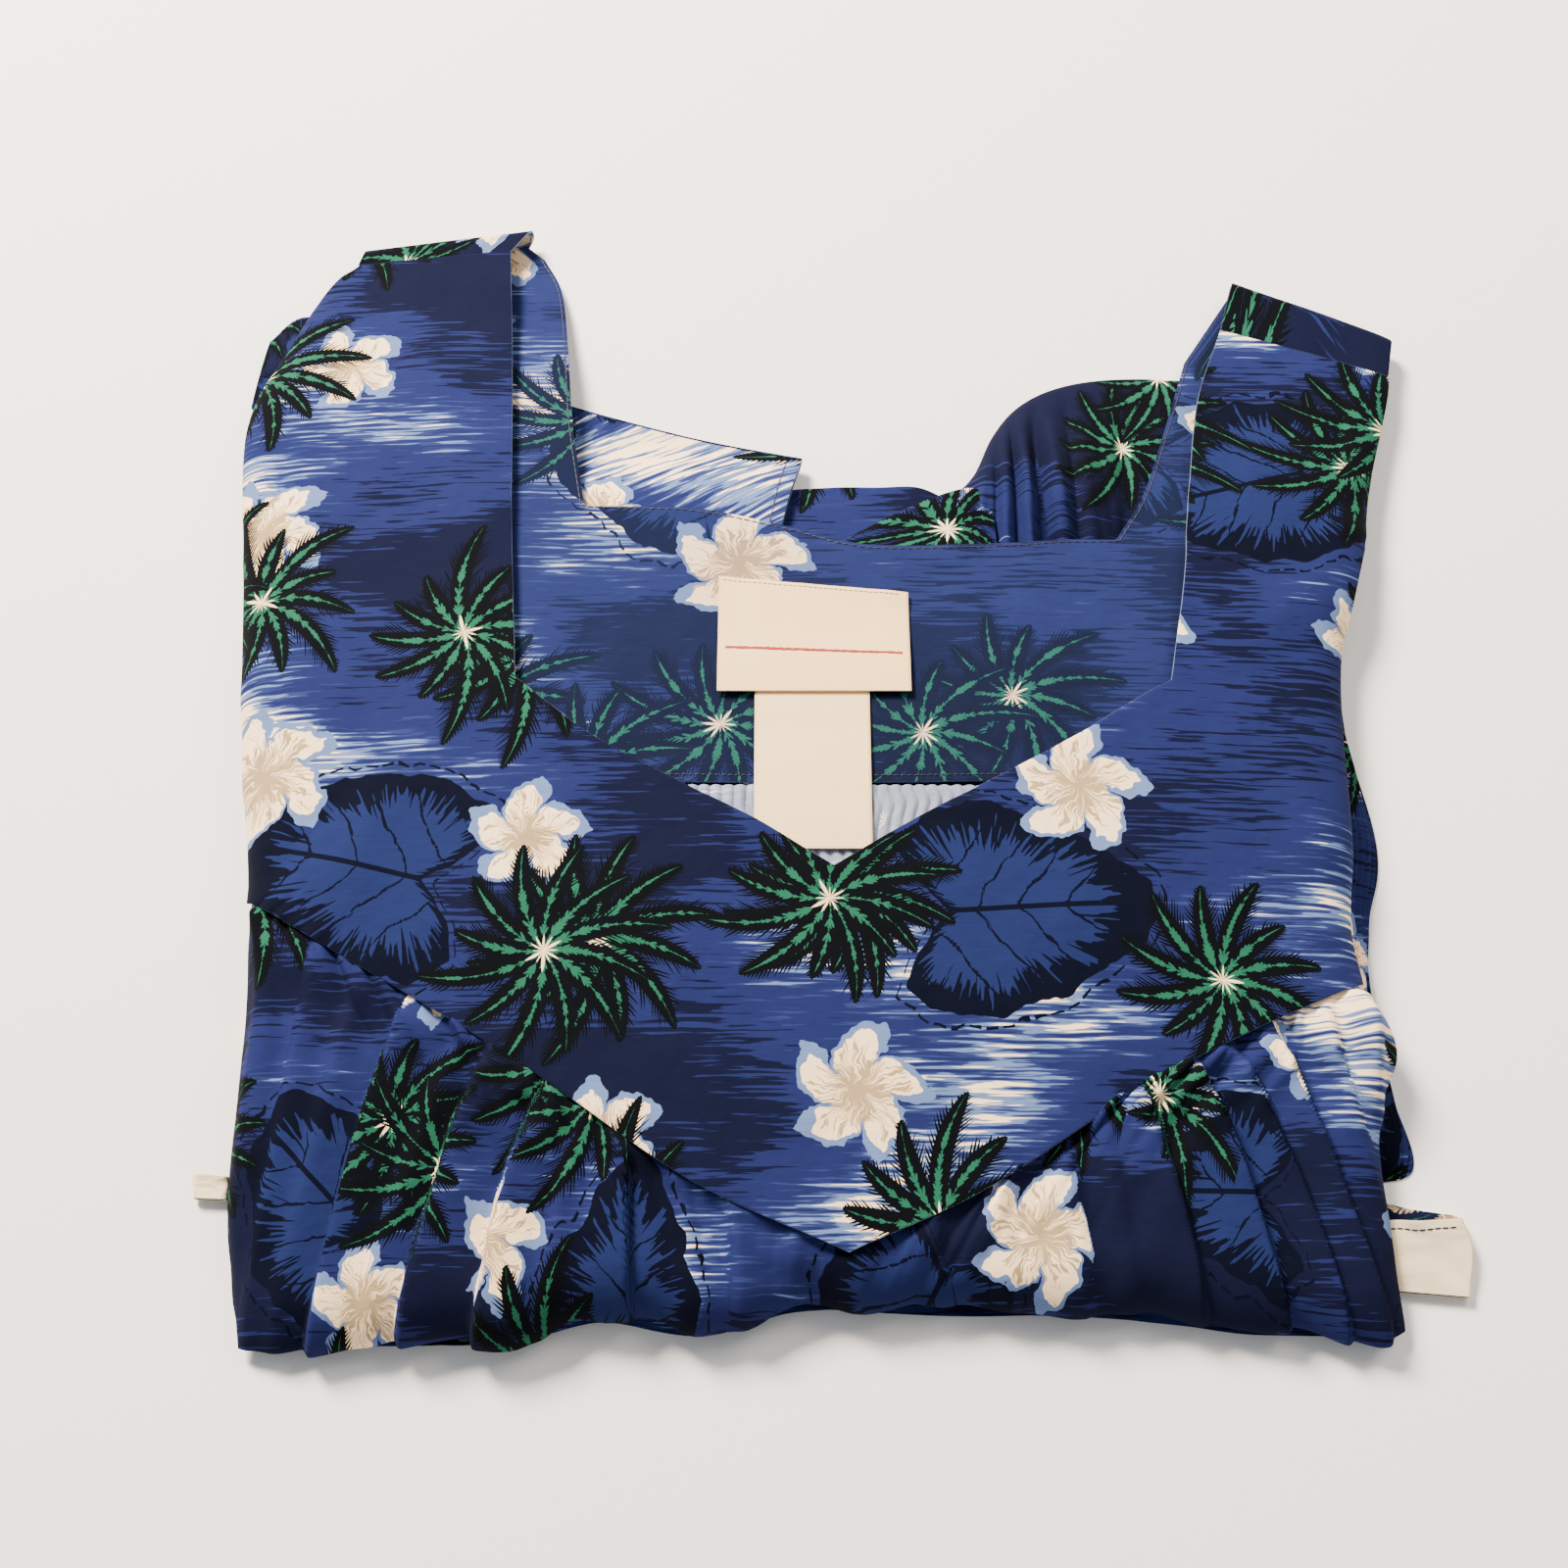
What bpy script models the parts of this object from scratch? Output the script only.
"""A hawaiian dress (muumuu), folded and lying flat with its front yoke on top.

The yoke has wide shoulder straps and a V neckline. The gathered skirt is sewn to its V seam and
folds away under the bottom edge. The straps bend over at the shoulders and come back as the back
yoke, whose wrong side shows in the neck with the labels and the shirred back skirt. The sleeves
lie folded behind. All sizes are in millimetres: X is across, Y runs up to the shoulders, Z is up.
"""

import math
from collections import namedtuple

import bmesh
import bpy
from mathutils import Vector

MM = 0.001

# Middle of the folded dress in the plan sizes below
ORIGIN = Vector((-0.43, 2.51, 0.0))

# Cloth and seams
WALL = 1.4
LABEL_WALL = 1.0
SHIRRED_WALL = 1.0
GAP = 0.3

# Levels of the layers, measured from the pile's mean surface along its normal
YOKE_LIFT = 1.9
SEAM_TUCK = 4.0
BACK_YOKE_DROP = 2.6
NECK_DROP = 4.0
CARE_LABEL_DROP = 1.7
SLEEVE_ROOM = 11.8
SLEEVE_DROP = 10.5
TUCK_DROP = 0.3
EDGE_RIM = 3.0

# Bends at the edges of the pile
SIDE_BEND = 15.0
BOTTOM_BEND = 24.0
BEND_POWER = 2.2
EDGE_INSET = 1.0
EDGE_RIM_BLEND = 40.0

Edge = namedtuple("Edge", "y x rim")
PILE_LEFT = [
    Edge(-240, -206.0, 2.0), Edge(-207, -211.0, 2.5), Edge(-177, -216.0, 4.0),
    Edge(-124, -217.0, 5.0), Edge(-74, -217.5, 6.0), Edge(-20, -225.0, 7.0),
    Edge(14, -229.0, 7.0), Edge(77, -236.0, 7.0), Edge(131, -241.5, 7.0),
    Edge(151, -239.0, 7.0), Edge(176, -229.0, 7.0), Edge(200, -219.5, 7.5),
    Edge(215, -211.0, 10.0), Edge(223, -203.0, 11.0), Edge(245, -200.0, 11.0),
]
PILE_RIGHT = [
    Edge(-240, 199.0, 3.0), Edge(-207, 194.0, 4.0), Edge(-190, 193.0, 6.0),
    Edge(-160, 195.0, 8.0), Edge(-135, 203.5, 10.0), Edge(-116, 196.0, 11.0),
    Edge(-86, 192.0, 11.0), Edge(-51, 196.0, 11.0), Edge(-6, 198.0, 11.0),
    Edge(34, 203.0, 10.0), Edge(61, 214.0, 10.0), Edge(85, 218.0, 10.0),
    Edge(114, 225.0, 9.0), Edge(139, 233.0, 8.5), Edge(165, 240.0, 9.0),
    Edge(225, 246.0, 9.0),
]
Hem = namedtuple("Hem", "x y")
PILE_BOTTOM = [
    Hem(-208, -236.0), Hem(-190, -238.0), Hem(-160, -235.0), Hem(-134, -233.5), Hem(-112, -237.0),
    Hem(-85, -227.0), Hem(-66, -228.0), Hem(-44, -234.0), Hem(-26, -230.5), Hem(-7, -223.0),
    Hem(12, -226.5), Hem(33, -223.0), Hem(58, -225.0), Hem(86, -227.5), Hem(112, -225.5),
    Hem(140, -231.0), Hem(162, -230.5), Hem(188, -234.0), Hem(200, -229.0),
]
Crown = namedtuple("Crown", "y height droop")
PILE_CROWN = [
    Crown(-240, 23.0, 0.45), Crown(-205, 25.0, 0.42), Crown(-150, 29.0, 0.38),
    Crown(-68, 33.5, 0.36), Crown(0, 33.0, 0.36), Crown(60, 30.0, 0.36), Crown(93, 27.5, 0.34),
    Crown(150, 20.0, 0.26), Crown(190, 13.8, 0.14), Crown(225, 9.6, 0.06), Crown(245, 9.0, 0.04),
]
RIGHT_STRAP_LEAN = 0.17
RIGHT_STRAP_ZONE = (60.0, 150.0)
LEFT_STRAP_RAISE = 17.0
LEFT_STRAP_ZONE = (100.0, 170.0)
LEFT_SIDE_ZONE = (0.0, -80.0)

# Sections across the front yoke, from the left shoulder seam round to the right one
Section = namedtuple("Section", "outer_x outer_y inner_x inner_y corner")
FRONT_YOKE = [
    Section(-203, 222, -137, 230, False), Section(-213, 212, -135, 207, False),
    Section(-229, 176, -132, 172, False), Section(-241.5, 131, -129, 130, False),
    Section(-236, 77, -126, 82, False), Section(-229, 14, -123, 45, False),
    Section(-217.5, -74, -120, 10, True), Section(-210, -79.5, -115, 6, False),
    Section(-198, -87.5, -106, -2, False), Section(-175, -101.5, -88, -16, False),
    Section(-113, -139, -55, -35, False), Section(-51, -181, -27, -50, False),
    Section(5, -206, 1, -68, True), Section(52, -185, 30, -50, False),
    Section(111, -148, 57, -35, False), Section(152, -127, 92, -15, False),
    Section(175, -116.5, 113, -1, False), Section(186, -111.5, 124, 6, False),
    Section(193, -108, 131, 10, True), Section(196, -51, 136, 34, False),
    Section(199, -2, 141, 60, False), Section(204, 38, 144, 84, False),
    Section(218, 85, 148, 108, False), Section(233, 139, 156, 149, False),
    Section(239, 164, 170, 188, False),
]
YOKE_CROWDING = 1.8
# Soft ridges of the front yoke: middle, half length, half width, direction and height
Crease = namedtuple("Crease", "x y length width angle height")
YOKE_CREASES = [
    Crease(-203, 40, 70, 13, 94, 1.6), Crease(-178, -62, 46, 14, 62, 1.8),
    Crease(-152, 120, 60, 15, 100, 1.2), Crease(-70, -95, 60, 20, -28, 1.0),
    Crease(90, -85, 64, 20, 34, 1.2), Crease(178, -50, 44, 13, 84, 1.6),
    Crease(184, 48, 30, 12, 40, 2.2), Crease(190, 128, 46, 15, 72, 1.2),
]
# Sections across the back yoke between the two shoulder folds, which lies under the front
BACK_YOKE = [
    Section(-211, 212, -116, 220, False), Section(-222, 176, -110, 178, False),
    Section(-232, 131, -105, 135, False), Section(-229, 77, -98, 93, True),
    Section(-216, -31, -70, 92.5, True), Section(-130, -31, -48, 91, False),
    Section(-50, -32, -16, 83, False), Section(20, -32, 15, 74, False),
    Section(80, -31, 60, 74.5, False), Section(184, -31, 98, 77, True),
    Section(192, 34, 116, 77, True), Section(208, 85, 129, 100, False),
    Section(222, 125, 142, 137, False), Section(232, 155, 156, 180, False),
]
BACK_CROWDING = 1.2
SHOULDER_GAP = 0.4
# The back yoke lies deeper in the neck, and deeper still where the shoulders bend
NECK_MIDDLE = 5.0
NECK_SIDE_ZONE = (150.0, 90.0)
SHOULDER_ZONE = (105.0, 202.0)
# Share of the back yoke's length in each shoulder bend, and of the bend that is flat on top
BEND_SHARE = 0.14
BEND_FLAT = 0.25
Shoulder = namedtuple("Shoulder", "seam_outer seam_inner fold_outer fold_inner radius")
LEFT_SHOULDER = Shoulder((-203, 222), (-137, 230), (-206, 232), (-128, 243), 4.4)
RIGHT_SHOULDER = Shoulder((239, 164), (170, 188), (243.5, 185), (178, 215), 4.4)

# Ridges of the front skirt: where each starts on the V seam and where it meets the bottom edge
Ridge = namedtuple("Ridge", "seam_x edge_x spread height puff")
SKIRT_RIDGES = [
    Ridge(-205, -211, 9, 2.2, 0.8), Ridge(-186, -202, 9, 2.6, 1.4), Ridge(-168, -192, 8, 2.2, 2.0),
    Ridge(-150, -180, 11, 4.6, 2.6), Ridge(-133, -163, 7, 2.0, 1.4), Ridge(-118, -149, 10, 4.2, 2.4),
    Ridge(-99, -123, 10, 3.6, 2.4), Ridge(-85, -100, 6, 1.6, 1.2),
    Ridge(-70, -72, 8, 2.6, 1.6), Ridge(-52, -50, 7, 1.4, 0.8), Ridge(-34, -34, 7, 1.2, 0.8),
    Ridge(-14, -16, 7, 1.2, 0.5), Ridge(8, 10, 8, 1.0, 0.4), Ridge(32, 34, 8, 1.2, 0.5),
    Ridge(56, 60, 8, 1.3, 0.7), Ridge(78, 86, 8, 1.6, 0.9), Ridge(94, 104, 6, 1.4, 0.9),
    Ridge(108, 126, 9, 2.6, 1.8), Ridge(126, 154, 9, 3.4, 2.4), Ridge(140, 174, 8, 2.6, 2.0),
    Ridge(155, 189, 9, 3.4, 3.0), Ridge(174, 197, 10, 3.2, 3.6), Ridge(189, 201, 8, 2.4, 2.6),
]
RIDGE_SHARPNESS = 1.6
RIDGE_SEAM_SPREAD = 0.55
RIDGE_EDGE_SPREAD = 1.1
RIDGE_EDGE_HEIGHT = 0.55
# Shares of the way from the seam over which the puff, the ridges and the valleys settle
PUFF_SHARES = (0.0, 0.45)
RIDGE_SHARES = (-0.02, 0.10)
VALLEY_SHARES = (0.0, 0.25)
SEAM_SHARES = (0.0, 0.22)
SKIRT_VALLEY = 1.1
SKIRT_LEFT_END = -236.0
SKIRT_RIGHT_END = -232.0
SIDE_EASE = 0.45
END_EASE = 0.7

# Stations round the hidden layers: height of the open lips and how far each reaches out
Station = namedtuple("Station", "x y ledge low middle high")
FOLDED_LAYERS = [
    Station(-204, -232, 2.4, -1.5, -2.0, -3.0), Station(-214, -205, 3.0, -1.0, -2.0, -3.0),
    Station(-216.5, -178, 5.0, -0.5, -2.0, -1.0), Station(-217, -124, 8.0, -1.0, -1.0, -3.0),
    Station(-218, -74, 9.5, -2.0, 1.0, -2.5), Station(-225, -20, 10.0, 0.0, -3.0, -1.0),
    Station(-229, 20, 9.5, -3.0, -1.0, -4.0), Station(-222, 62, 8.0, -6.0, -4.0, -6.0),
    Station(-180, 92, 9.0, -2.0, -1.0, -2.0), Station(-120, 103, 10.5, 0.0, -3.0, -1.0),
    Station(-60, 105, 11.5, -2.0, 1.5, -1.5), Station(-5, 107, 13.0, 0.0, -2.0, 1.0),
    Station(30, 108, 15.0, -1.5, 1.0, 0.0), Station(48, 105.5, 12.5, -1.5, 0.5, -1.0),
    Station(54, 97, 3.0, -1.0, -2.0, -2.0),
    Station(82, 122, 2.6, -1.0, -2.0, -2.0), Station(98, 146, 2.6, -1.0, -2.0, -2.0),
    Station(128, 154, 2.6, -1.0, -2.0, -2.0), Station(178, 148, 3.0, -1.0, -2.0, -2.0),
    Station(206, 122, 3.5, -2.0, -3.0, -3.0), Station(213, 86, 4.0, -2.0, -2.0, -3.0),
    Station(206, 40, 4.5, -1.0, 1.0, -2.0), Station(203, 0, 10.0, 2.0, 0.5, -3.0),
    Station(210, -46, 9.5, 1.0, -2.0, -12.0), Station(203, -78, 9.5, 2.0, -1.0, -8.0),
    Station(201, -112, 9.5, -1.5, 1.0, -4.0), Station(205, -146, 8.0, 1.0, -3.0, -7.0),
    Station(208, -172, 6.0, 1.5, -2.0, -14.0), Station(186, -182, 5.0, -1.0, -2.0, -1.0),
    Station(185, -214, 4.0, -1.0, -2.0, -1.0), Station(193, -229, 2.4, -1.0, -2.0, -3.0),
    Station(150, -230, 2.2, -0.5, -1.5, -3.0), Station(100, -225, 2.2, -1.0, -0.5, -3.0),
    Station(40, -223.5, 2.2, -0.5, -1.5, -3.0), Station(-10, -223, 2.2, -1.0, -1.5, -3.0),
    Station(-46, -231, 2.2, -0.5, -1.5, -3.0), Station(-80, -226, 2.2, -0.5, -1.0, -3.0),
    Station(-115, -233, 2.2, -1.0, -0.5, -3.0), Station(-160, -233, 2.4, 0.5, -1.0, -3.0),
]
LAYER_CENTRE = (0.0, -60.0)
LIP_ROUND = 1.3
LEDGE_INSET = 6.5
LEDGE_RISE = 0.2
LIP_SHAPE = ((0.25, 0.3), (0.0, 0.7), (1.0, 1.0))
LIP_NAMES = ("low", "middle", "high")
TOP_INSETS = (1.0, 4.0, 9.0, 16.0)
TOP_SHARES = (0.14, 0.24, 0.36, 0.50, 0.72, 0.96)
LAYER_RINGS = 1 + 3 * len(LIP_NAMES) + 1 + len(TOP_INSETS) + len(TOP_SHARES)
SKIRT_CLEAR = 4.2
YOKE_CLEAR = 5.6
# Where the room above the layers changes: under the yoke, by the sleeves and round the puff
YOKE_ZONE = (-116.0, -99.0)
SLEEVE_ZONE = (26.0, 44.0)
PUFF_ZONE_X = (44.0, 52.0)
PUFF_ZONE_Y = (20.0, 40.0)
PUFF_CLEAR_ZONE = (60.0, 76.0)
STEEPEST = 0.35

# The left sleeve, a flat tube from the armhole to its open hem
Tube = namedtuple("Tube", "back_x back_y front_x front_y puff")
SLEEVE_LEFT = [
    Tube(-240, 187, -244, 156, 1.0), Tube(-227, 200, -222, 137, 3.0),
    Tube(-206, 194, -198, 123, 1.8), Tube(-170, 179, -164, 111, 1.6),
    Tube(-135, 165, -130, 98, 1.6), Tube(-106, 153, -98, 80, 1.2), Tube(-58, 138, -60, 62, 0.8),
    Tube(-10, 125, -24, 58, 0.6),
]
SLEEVE_FLOOR = 1.1
TUBE_BEND = 1.3
ONTO_LAYERS_Y = (140.0, 98.0)
ONTO_LAYERS_X = (-215.0, -150.0)

# The right sleeve, a puff over the layers
Puff = namedtuple("Puff", "back_x back_y front_x front_y")
SLEEVE_RIGHT = [
    Puff(57, 104, 60, 68), Puff(62, 119, 70, 66), Puff(71, 138, 80, 65), Puff(82, 153, 92, 64),
    Puff(98, 163, 106, 64), Puff(120, 168, 124, 64), Puff(150, 168, 146, 64), Puff(184, 162, 166, 66),
    Puff(202, 140, 184, 78),
]
PUFF_HEIGHT = 5.2
PUFF_CROWN = 12.0
PUFF_MIDDLE = (86.0, 108.0)
PUFF_SPREAD = 38.0
PUFF_CROWDING = 0.8
PUFF_LOW = 1.6
PUFF_BEND = 16.0
PUFF_END = 24.0
PUFF_END_HEIGHT = 0.65
PUFF_FOLDS = 11
PUFF_FOLD_HEIGHT = 1.3
PUFF_FOLD_TURN = 2.0
PUFF_FOLDS_ACROSS = (0.62, 0.40)
PUFF_FOLDS_ALONG = (0.0, 0.3)
PUFF_CLEAR = 4.0
PUFF_EDGE_CLEAR = 6.0

# The shirred back skirt, which shows in the V of the neck
SHIRR_LEFT = -76.0
SHIRR_RIGHT = 86.0
SHIRR_TOP = -33.4
SHIRR_LENGTH = 58.0
SHIRR_WAVES = 36
SHIRR_DEPTH = 0.7

# Labels sewn to the back yoke
BRAND_LABEL = dict(left=-43.0, right=31.5, top=58.0, bottom=5.0, tilt=-0.11)
CARE_LABEL = dict(left=-28.5, right=15.5, top=12.0, bottom=-60.0, tilt=0.0)
LABEL_OVERLAP_ZONE = (38.0, 14.0)
CARE_LABEL_ZONE = (-28.0, -8.0)
LABEL_SEAT = WALL / 2 + GAP + LABEL_WALL / 2
LABEL_LAP = 1.4

# Hem corners of the folded skirt that stick out at the sides
Flap = namedtuple("Flap", "left right low high lift")
HEM_RIGHT = [Flap(186.5, 223.5, -216.0, -216.0, 0.0), Flap(187.0, 225.0, -201.0, -200.0, 1.6),
             Flap(187.6, 222.0, -183.0, -188.5, 4.2)]
HEM_LEFT = [Flap(-227.5, -216.6, -183.0, -183.5, 0.0), Flap(-229.0, -216.8, -174.0, -174.5, 0.3)]


def smoothstep(start, end, value):
    """Rise from 0 to 1 between two values, with level ends."""
    share = min(max((value - start) / (end - start), 0.0), 1.0)
    return share * share * (3.0 - 2.0 * share)


def mix(first, second, share):
    return first + (second - first) * share


def eased(share, ease):
    """Crowd evenly spaced shares towards both ends."""
    return share - ease * math.sin(2.0 * math.pi * share) / (2.0 * math.pi)


def mix_points(first, second, share):
    return tuple(mix(a, b, share) for a, b in zip(first, second))


def reading(table, key, name):
    """Return a function that reads a table's column without overshoot between its rows."""
    places = [getattr(row, key) for row in table]
    values = [getattr(row, name) for row in table]
    steps = [(values[i + 1] - values[i]) / (places[i + 1] - places[i]) for i in range(len(table) - 1)]
    slopes = [steps[0]]
    for before, after in zip(steps, steps[1:]):
        level = before * after <= 0.0
        slopes.append(0.0 if level else 2.0 * before * after / (before + after))
    slopes.append(steps[-1])

    def read(place):
        place = min(max(place, places[0]), places[-1])
        i = max(k for k in range(len(places) - 1) if places[k] <= place)
        width = places[i + 1] - places[i]
        return hermite(values[i], values[i + 1], slopes[i] * width, slopes[i + 1] * width,
                       (place - places[i]) / width)

    return read


def hermite(start, end, start_slope, end_slope, t):
    return ((2 * t ** 3 - 3 * t ** 2 + 1) * start + (t ** 3 - 2 * t ** 2 + t) * start_slope
            + (3 * t ** 2 - 2 * t ** 3) * end + (t ** 3 - t ** 2) * end_slope)


def through(table, name, position, closed=False):
    """Read a column at a fractional row number, on a smooth curve that breaks at corner rows."""
    count = len(table)
    i = int(position) if closed else min(int(position), count - 2)
    t = position - i

    def value(row):
        return getattr(table[row % count], name)

    start, end = value(i), value(i + 1)
    start_slope = end_slope = end - start
    corners = [getattr(row, "corner", False) for row in table]
    if closed or (i > 0 and not corners[i]):
        start_slope = (end - value(i - 1)) / 2
    if closed or (i + 2 < count and not corners[i + 1]):
        end_slope = (value(i + 2) - start) / 2
    return hermite(start, end, start_slope, end_slope, t)


left_edge = reading(PILE_LEFT, "y", "x")
left_rim = reading(PILE_LEFT, "y", "rim")
right_edge = reading(PILE_RIGHT, "y", "x")
right_rim = reading(PILE_RIGHT, "y", "rim")
bottom_edge = reading(PILE_BOTTOM, "x", "y")
crown_height = reading(PILE_CROWN, "y", "height")
crown_droop = reading(PILE_CROWN, "y", "droop")


def bend(distance, radius):
    """Height share of a rounded edge at a distance inside it."""
    inside = min(max(distance / radius, 0.01), 1.0)
    return (1.0 - (1.0 - inside) ** BEND_POWER) ** (1.0 / BEND_POWER)


def strap_station(x, y):
    """Y of a place on the crown's table, further on where the right strap ends nearer."""
    right = RIGHT_STRAP_LEAN * max(x, 0.0) * smoothstep(*RIGHT_STRAP_ZONE, y)
    left = LEFT_STRAP_RAISE * smoothstep(*LEFT_SIDE_ZONE, x) * smoothstep(*LEFT_STRAP_ZONE, y)
    return y + right - left


def pile_height(x, y):
    """Height of the folded dress's mean upper surface."""
    left, right = left_edge(y), right_edge(y)
    aside = abs(2.0 * (x - left) / (right - left) - 1.0)
    along = strap_station(x, y)
    top = crown_height(along) * (1.0 - crown_droop(along) * min(aside, 1.0) ** 3)
    across = smoothstep(left, right, x)
    rim = min(mix(left_rim(y), right_rim(y), across), top)
    rim = mix(EDGE_RIM, rim, smoothstep(0.0, EDGE_RIM_BLEND, y - bottom_edge(x)))
    sides = bend(x - left, SIDE_BEND) * bend(right - x, SIDE_BEND)
    return rim + (top - rim) * sides * bend(y - bottom_edge(x), BOTTOM_BEND)


def normal_of(height, x, y, reach=0.8):
    along_x = (height(x + reach, y) - height(x - reach, y)) / (2 * reach)
    along_y = (height(x, y + reach) - height(x, y - reach)) / (2 * reach)
    return Vector((-along_x, -along_y, 1.0)).normalized()


def on_pile(x, y, lift):
    """A point at a distance along the normal from the pile's mean surface."""
    return Vector((x, y, pile_height(x, y))) + normal_of(pile_height, x, y) * lift


def inside_edges(x, y):
    """Hold a plan point just inside the pile's rounded edges."""
    x = min(max(x, left_edge(y) + EDGE_INSET), right_edge(y) - EDGE_INSET)
    return x, max(y, bottom_edge(x) + EDGE_INSET)


def principled(name, colour, roughness):
    material = bpy.data.materials.new(name)
    material.use_nodes = True
    shader = material.node_tree.nodes["Principled BSDF"]
    shader.inputs["Base Color"].default_value = (*colour, 1.0)
    shader.inputs["Roughness"].default_value = roughness
    shader.inputs["Metallic"].default_value = 0.0
    return material


def sheet(name, columns, rows, place, material, wall=WALL, tube=False):
    """Make a cloth wall from a grid whose points a function places, with its edges open."""
    grid = bmesh.new()
    bmesh.ops.create_grid(grid, x_segments=columns, y_segments=rows, size=0.5)
    for vertex in grid.verts:
        vertex.co = (Vector(place(vertex.co.x + 0.5, vertex.co.y + 0.5)) - ORIGIN) * MM
    if tube:
        bmesh.ops.remove_doubles(grid, verts=grid.verts, dist=0.00001)
    piece = add_object(name, grid, material)
    thickness = piece.modifiers.new("Wall", "SOLIDIFY")
    thickness.thickness = wall * MM
    thickness.offset = 0.0
    return piece


def add_object(name, shape, material):
    mesh = bpy.data.meshes.new(name)
    shape.to_mesh(mesh)
    shape.free()
    mesh.shade_smooth()
    mesh.materials.append(material)
    piece = bpy.data.objects.new(name, mesh)
    bpy.data.collections["hawaiian_dress"].objects.link(piece)
    return piece


def section_point(table, position, across):
    """Plan point of a ribbon of cloth between the outer and inner edges of its sections."""
    outer = [through(table, name, position) for name in ("outer_x", "outer_y")]
    inner = [through(table, name, position) for name in ("inner_x", "inner_y")]
    return mix_points(outer, inner, across)


def crease_height(creases, x, y):
    total = 0.0
    for crease in creases:
        turn = math.radians(crease.angle)
        aside, ahead = x - crease.x, y - crease.y
        along = (aside * math.cos(turn) + ahead * math.sin(turn)) / crease.length
        across = (ahead * math.cos(turn) - aside * math.sin(turn)) / crease.width
        total += crease.height * math.exp(-along * along - across * across)
    return total


def front_yoke_point(u, v):
    position = u * (len(FRONT_YOKE) - 1)
    outer = inside_edges(*section_point(FRONT_YOKE, position, 0.0))
    inner = section_point(FRONT_YOKE, position, 1.0)
    x, y = mix_points(outer, inner, v ** YOKE_CROWDING)
    return on_pile(x, y, YOKE_LIFT + crease_height(YOKE_CREASES, x, y))


def back_drop(x, y):
    """Depth of the back yoke under the mean surface: more in the neck and towards the shoulders."""
    neck = mix(BACK_YOKE_DROP, NECK_DROP, smoothstep(*NECK_SIDE_ZONE, abs(x - NECK_MIDDLE)))
    loop = 2.0 * LEFT_SHOULDER.radius - YOKE_LIFT
    return mix(neck, loop, smoothstep(*SHOULDER_ZONE, strap_station(x, y)))


def back_yoke_flat(x, y):
    return on_pile(x, y, -back_drop(x, y))


def shoulder_bend(shoulder, turn, across):
    """Point on the cloth that bends over a shoulder: turn 0 is by the seam, 1 is underneath."""
    seam = Vector(mix_points(shoulder.seam_outer, shoulder.seam_inner, across))
    fold = Vector(mix_points(shoulder.fold_outer, shoulder.fold_inner, across))
    outward = (fold - seam).normalized()
    centre = fold - outward * shoulder.radius
    start = seam + outward * SHOULDER_GAP
    top = on_pile(*start, YOKE_LIFT + crease_height(YOKE_CREASES, *start)).z
    if turn < BEND_FLAT:
        plan = start.lerp(centre, turn / BEND_FLAT)
        return Vector((*plan, top))
    angle = math.pi * (turn - BEND_FLAT) / (1.0 - BEND_FLAT)
    plan = centre + outward * shoulder.radius * math.sin(angle)
    return Vector((*plan, top - shoulder.radius * (1.0 - math.cos(angle))))


def back_yoke_point(u, v):
    across = v ** BACK_CROWDING
    last = len(BACK_YOKE) - 1
    if u < BEND_SHARE:
        return shoulder_bend(LEFT_SHOULDER, u / BEND_SHARE, across)
    if u > 1.0 - BEND_SHARE:
        return shoulder_bend(RIGHT_SHOULDER, (1.0 - u) / BEND_SHARE, across)
    position = last * (u - BEND_SHARE) / (1.0 - 2.0 * BEND_SHARE)
    return back_yoke_flat(*section_point(BACK_YOKE, position, across))


def ridge_height(x, share):
    """Height of the skirt's folds at a place across it, from the seam (0) to the bottom edge (1)."""
    total = -SKIRT_VALLEY * smoothstep(*VALLEY_SHARES, share)
    fade = smoothstep(*RIDGE_SHARES, share) * mix(1.0, RIDGE_EDGE_HEIGHT, share ** 3)
    for ridge in SKIRT_RIDGES:
        middle = mix(ridge.seam_x, ridge.edge_x, share)
        spread = ridge.spread * mix(RIDGE_SEAM_SPREAD, RIDGE_EDGE_SPREAD, share)
        bump = math.exp(-((x - middle) / spread) ** 2 * RIDGE_SHARPNESS)
        total += bump * mix(ridge.puff, ridge.height, smoothstep(*PUFF_SHARES, share)) * fade
    return total


def seam_point(share):
    """Point of the V seam at a share of the way across."""
    first = next(i for i, row in enumerate(FRONT_YOKE) if row.corner)
    last = max(i for i, row in enumerate(FRONT_YOKE) if row.corner)
    position = mix(first, last, share)
    return section_point(FRONT_YOKE, position, 0.0)


def tucked_seam_point(share):
    x, y = seam_point(share)
    return x, y + SEAM_TUCK


def skirt_point(u, v):
    share = eased(v, END_EASE)
    u = eased(u, SIDE_EASE)
    seam_x, seam_y = tucked_seam_point(u)
    seam_left, seam_right = left_edge(seam_y), right_edge(seam_y)
    edge_x = mix(left_edge(SKIRT_LEFT_END), right_edge(SKIRT_RIGHT_END), u)
    y = mix(seam_y, bottom_edge(edge_x) + EDGE_INSET, share)
    across = mix((seam_x - seam_left) / (seam_right - seam_left), u, share)
    x = mix(left_edge(y) + EDGE_INSET, right_edge(y) - EDGE_INSET, min(max(across, 0.0), 1.0))
    clear = smoothstep(*SEAM_SHARES, share)
    return on_pile(x, y, mix(-TUCK_DROP, ridge_height(x, share), clear))


def back_skirt_point(u, v):
    x = mix(SHIRR_LEFT, SHIRR_RIGHT, u)
    y = SHIRR_TOP - SHIRR_LENGTH * v
    wave = math.sin(2.0 * math.pi * SHIRR_WAVES * u) * SHIRR_DEPTH
    return on_pile(x, y, wave - NECK_DROP)


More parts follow.
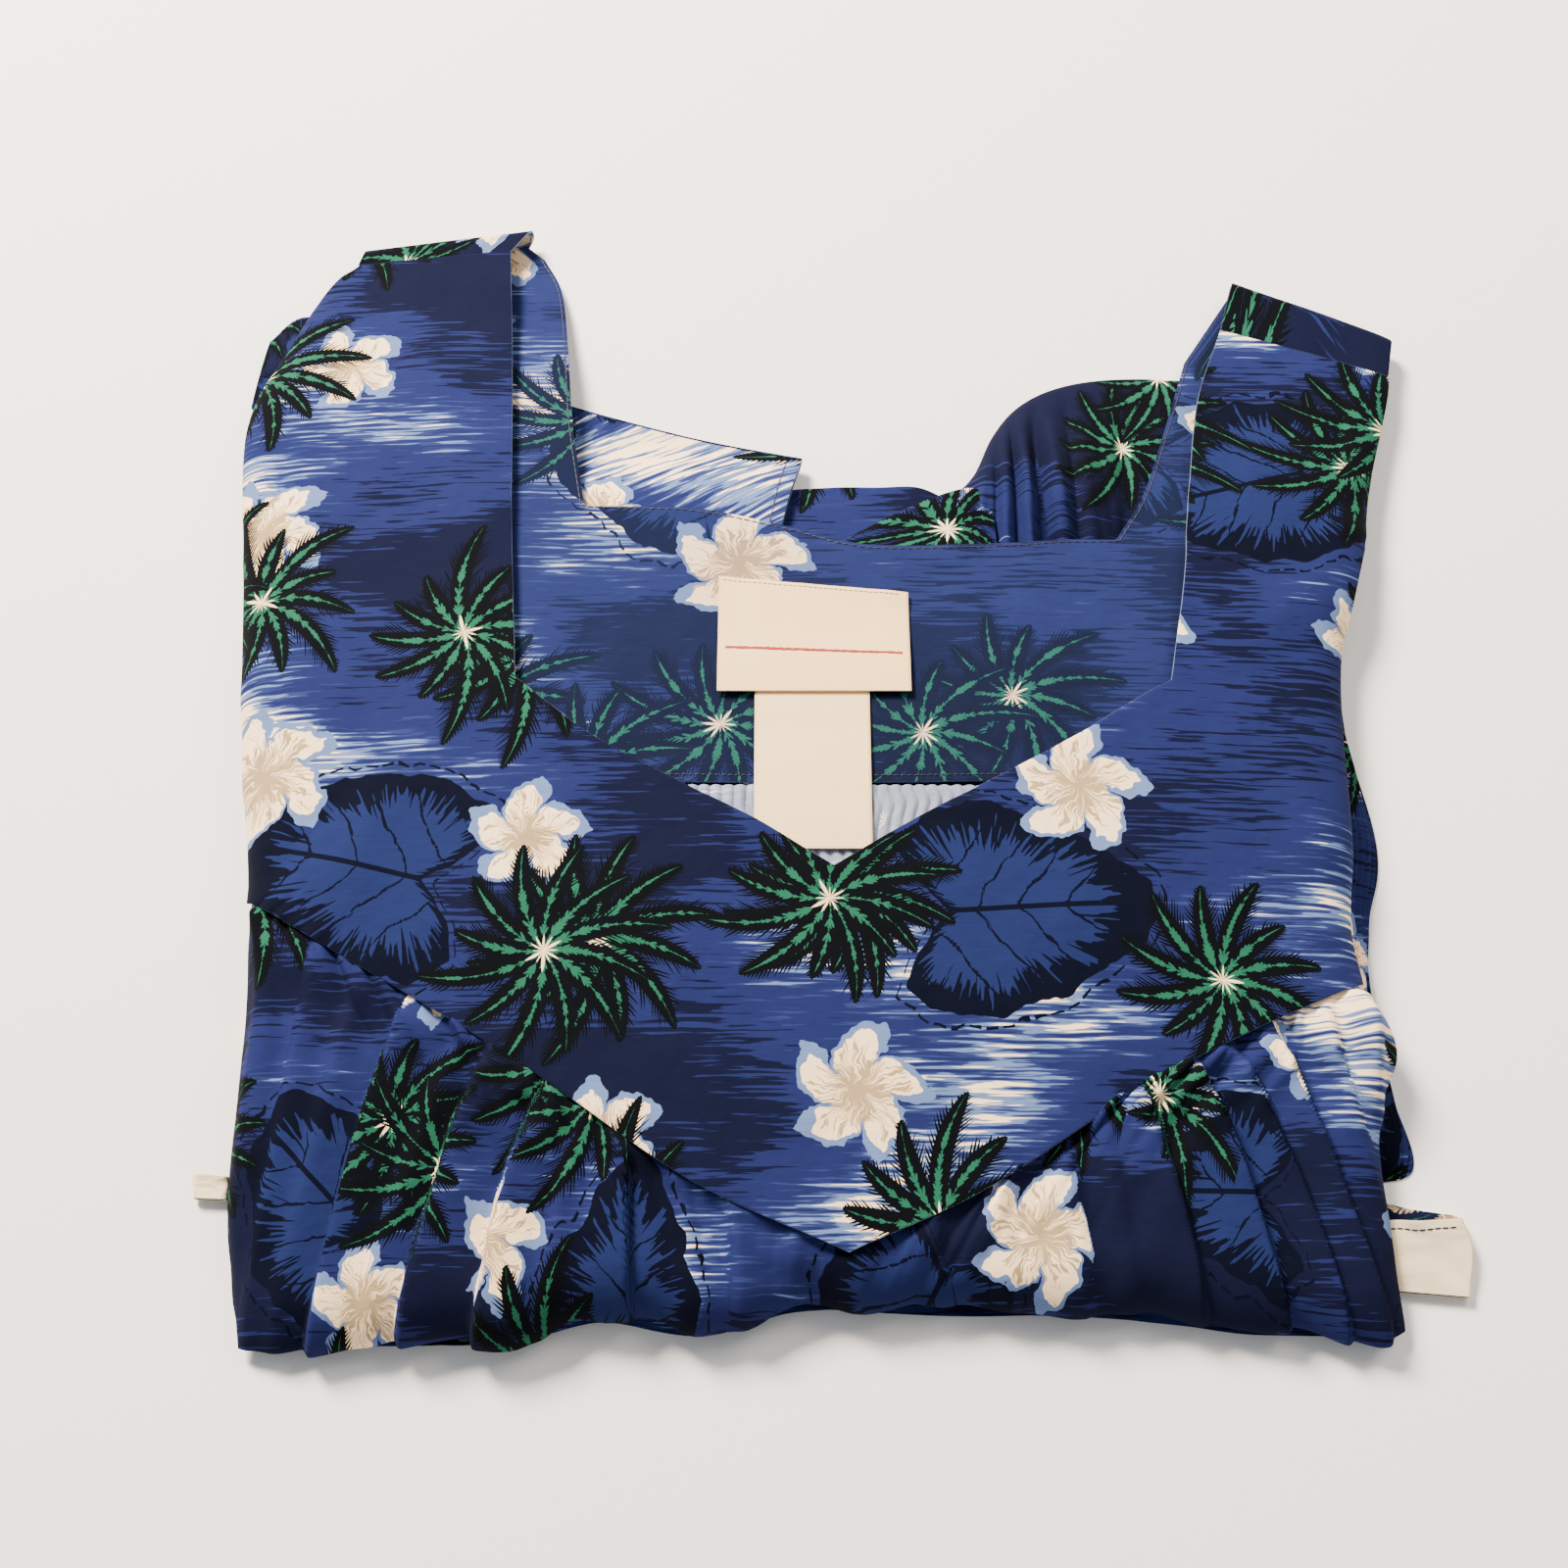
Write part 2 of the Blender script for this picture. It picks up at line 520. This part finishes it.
def label_point(label, u, v):
    x = mix(label["left"], label["right"], u)
    y = mix(label["bottom"], label["top"], v) + label["tilt"] * (x - label["left"]) * v
    return x, y


def brand_label_point(u, v):
    """Point of the brand label, whose lower edge lies over the care label's top."""
    x, y = label_point(BRAND_LABEL, u, v)
    lift = LABEL_SEAT + LABEL_LAP * smoothstep(*LABEL_OVERLAP_ZONE, y)
    return on_pile(x, y, lift - back_drop(x, y))


def care_label_point(u, v):
    """Point of the care label, which lies on the back yoke and runs on over the shirring."""
    x, y = label_point(CARE_LABEL, u, v)
    drop = mix(CARE_LABEL_DROP, back_drop(x, y) - LABEL_SEAT, smoothstep(*CARE_LABEL_ZONE, y))
    return on_pile(x, y, -drop)


def sleeve_floor(x, y):
    """Height that the left sleeve lies at: up on the layers near the neck, down behind them."""
    onto = smoothstep(*ONTO_LAYERS_Y, y) * smoothstep(*ONTO_LAYERS_X, x)
    return mix(SLEEVE_FLOOR, pile_height(x, y) - SLEEVE_DROP, onto)


def sleeve_left_point(u, v):
    """Point of a flat tube: across it on top, round the front bend, back below, round again."""
    position = v * (len(SLEEVE_LEFT) - 1)
    back = Vector([through(SLEEVE_LEFT, name, position) for name in ("back_x", "back_y")])
    front = Vector([through(SLEEVE_LEFT, name, position) for name in ("front_x", "front_y")])
    puff = through(SLEEVE_LEFT, "puff", position)
    forward = (front - back).normalized()
    quarter = u * 4.0
    if quarter < 1.0:
        share, side, angle = quarter, 1.0, 0.0
    elif quarter < 2.0:
        share, side, angle = 1.0, 0.0, math.pi * (quarter - 1.0)
    elif quarter < 3.0:
        share, side, angle = 3.0 - quarter, -1.0, 0.0
    else:
        share, side, angle = 0.0, 0.0, math.pi * (quarter - 3.0)
    plan = back.lerp(front, share)
    floor = sleeve_floor(*plan)
    if side > 0.0:
        swell = puff * (1.0 - (2.0 * share - 1.0) ** 2)
        return Vector((*plan, floor + 2.0 * TUBE_BEND + swell))
    if side < 0.0:
        return Vector((*plan, floor))
    outward = forward if share > 0.5 else -forward
    plan = plan + outward * TUBE_BEND * math.sin(angle)
    up = math.cos(angle) if share > 0.5 else -math.cos(angle)
    return Vector((*plan, floor + TUBE_BEND * (1.0 + up)))


def puff_height(x, y):
    """Mean height of the right sleeve's puff, before its folds and its bent edge."""
    away = math.hypot(x - PUFF_MIDDLE[0], y - PUFF_MIDDLE[1]) / PUFF_SPREAD
    return PUFF_HEIGHT + PUFF_CROWN * math.exp(-away * away)


def sleeve_right_point(u, v):
    position = u * (len(SLEEVE_RIGHT) - 1)
    back = [through(SLEEVE_RIGHT, name, position) for name in ("back_x", "back_y")]
    front = [through(SLEEVE_RIGHT, name, position) for name in ("front_x", "front_y")]
    x, y = mix_points(front, back, v ** PUFF_CROWDING)
    rounded = bend(math.dist((x, y), back) + EDGE_INSET, PUFF_BEND)
    rounded *= mix(PUFF_END_HEIGHT, 1.0, bend(PUFF_END * u + EDGE_INSET, PUFF_BEND))
    folds = math.sin(2.0 * math.pi * PUFF_FOLDS * u + PUFF_FOLD_TURN * v) * PUFF_FOLD_HEIGHT
    folds *= smoothstep(*PUFF_FOLDS_ACROSS, u) * smoothstep(*PUFF_FOLDS_ALONG, v)
    return Vector((x, y, PUFF_LOW + (puff_height(x, y) - PUFF_LOW + folds) * rounded))


def layer_top(x, y):
    """Height of the hidden layers' upper side, below every piece that lies on them."""
    clear = mix(SKIRT_CLEAR, YOKE_CLEAR, smoothstep(*YOKE_ZONE, y))
    clear = mix(clear, SLEEVE_ROOM, smoothstep(*SLEEVE_ZONE, y))
    level = pile_height(x, y) - clear / max(normal_of(pile_height, x, y).z, STEEPEST)
    puff = smoothstep(*PUFF_ZONE_X, x) * smoothstep(*PUFF_ZONE_Y, y)
    room = mix(PUFF_EDGE_CLEAR, PUFF_CLEAR, smoothstep(*PUFF_CLEAR_ZONE, x))
    return mix(level, puff_height(x, y) - room, puff)


def layer_point(u, v):
    """Point of the hidden layers' skin: three lips at the side, then rings in over the top."""
    position = (u % 1.0) * len(FOLDED_LAYERS)
    x, y, ledge = (through(FOLDED_LAYERS, name, position, True) for name in ("x", "y", "ledge"))
    outline = Vector((x, y))
    inward = Vector(LAYER_CENTRE) - outline
    length = inward.length
    inward.normalize()
    high_reach = through(FOLDED_LAYERS, "high", position, True)
    ledge_inset = max(LEDGE_INSET, 2.0 * LIP_ROUND - high_reach)
    ring = round(v * (LAYER_RINGS - 1))
    lips_end = 3 * len(LIP_NAMES)
    lip_height = ledge / len(LIP_NAMES)
    if ring == 0:
        reach = through(FOLDED_LAYERS, "low", position, True) - LIP_ROUND
        return Vector((*(outline - inward * reach), 0.0))
    if ring <= lips_end:
        lip, part = divmod(ring - 1, 3)
        reach = through(FOLDED_LAYERS, LIP_NAMES[lip], position, True)
        back, rise = LIP_SHAPE[part]
        reach -= LIP_ROUND * back
        return Vector((*(outline - inward * reach), lip_height * (lip + rise)))
    if ring == lips_end + 1:
        return Vector((*(outline + inward * ledge_inset), ledge))
    step = ring - lips_end - 2
    edge_band = ledge_inset + TOP_INSETS[-1]
    if step < len(TOP_INSETS):
        inset = ledge_inset + TOP_INSETS[step]
    else:
        inset = mix(edge_band, length, TOP_SHARES[step - len(TOP_INSETS)])
    plan = outline + inward * inset
    return Vector((*plan, max(layer_top(*plan), ledge + LEDGE_RISE)))


def folded_layers(material):
    """The hidden layers as one rounded solid with a flat underside."""
    skin = bmesh.new()
    columns = 2 * len(FOLDED_LAYERS)
    bmesh.ops.create_grid(skin, x_segments=columns, y_segments=LAYER_RINGS - 1, size=0.5)
    for vertex in skin.verts:
        vertex.co = (layer_point(vertex.co.x + 0.5, vertex.co.y + 0.5) - ORIGIN) * MM
    bmesh.ops.remove_doubles(skin, verts=skin.verts, dist=0.00001)
    bmesh.ops.holes_fill(skin, edges=[e for e in skin.edges if e.is_boundary], sides=0)
    bmesh.ops.recalc_face_normals(skin, faces=skin.faces)
    return add_object("folded_layers", skin, material)


def flap_point(table):
    """Return the place function of a hem corner: a flat tube, bent at its outer side."""

    def place(u, v):
        position = v * (len(table) - 1)
        row = Flap(*(through(table, name, position) for name in Flap._fields))
        quarter = u * 4.0
        part = quarter - min(int(quarter), 3)
        turn = math.pi * part
        left, right = row.left + TUBE_BEND, row.right - TUBE_BEND
        top = 2.0 * TUBE_BEND + row.lift
        middle, half = SLEEVE_FLOOR + top / 2, top / 2
        if quarter < 1.0:
            x, z = mix(left, right, part), SLEEVE_FLOOR + top
        elif quarter < 2.0:
            x, z = right + TUBE_BEND * math.sin(turn), middle + half * math.cos(turn)
        elif quarter < 3.0:
            x, z = mix(right, left, part), SLEEVE_FLOOR
        else:
            x, z = left - TUBE_BEND * math.sin(turn), middle - half * math.cos(turn)
        return Vector((x, mix(row.low, row.high, (x - row.left) / (row.right - row.left)), z))

    return place


def main():
    for item in list(bpy.data.objects):
        bpy.data.objects.remove(item, do_unlink=True)
    dress = bpy.data.collections.new("hawaiian_dress")
    bpy.context.scene.collection.children.link(dress)

    print_cloth = principled("printed poplin", (0.07, 0.14, 0.42), 0.62)
    wrong_side = principled("printed poplin, wrong side", (0.13, 0.22, 0.50), 0.68)
    hidden = principled("folded layers", (0.05, 0.09, 0.30), 0.7)
    pale = principled("pale hem", (0.74, 0.72, 0.62), 0.68)
    satin = principled("label satin", (0.86, 0.82, 0.72), 0.5)

    folded_layers(hidden)
    sheet("front_yoke", 3 * (len(FRONT_YOKE) - 1), 7, front_yoke_point, print_cloth)
    sheet("back_yoke", 50, 6, back_yoke_point, wrong_side)
    sheet("front_skirt", 74, 15, skirt_point, print_cloth)
    sheet("back_skirt", 3 * SHIRR_WAVES, 3, back_skirt_point, wrong_side, SHIRRED_WALL)
    sheet("sleeve_left", 24, 12, sleeve_left_point, print_cloth, tube=True)
    sheet("sleeve_right", 36, 7, sleeve_right_point, print_cloth)
    sheet("brand_label", 6, 6, brand_label_point, satin, LABEL_WALL)
    sheet("care_label", 4, 8, care_label_point, satin, LABEL_WALL)
    sheet("hem_right", 24, 4, flap_point(HEM_RIGHT), pale, tube=True)
    sheet("hem_left", 16, 2, flap_point(HEM_LEFT), pale, tube=True)


main()
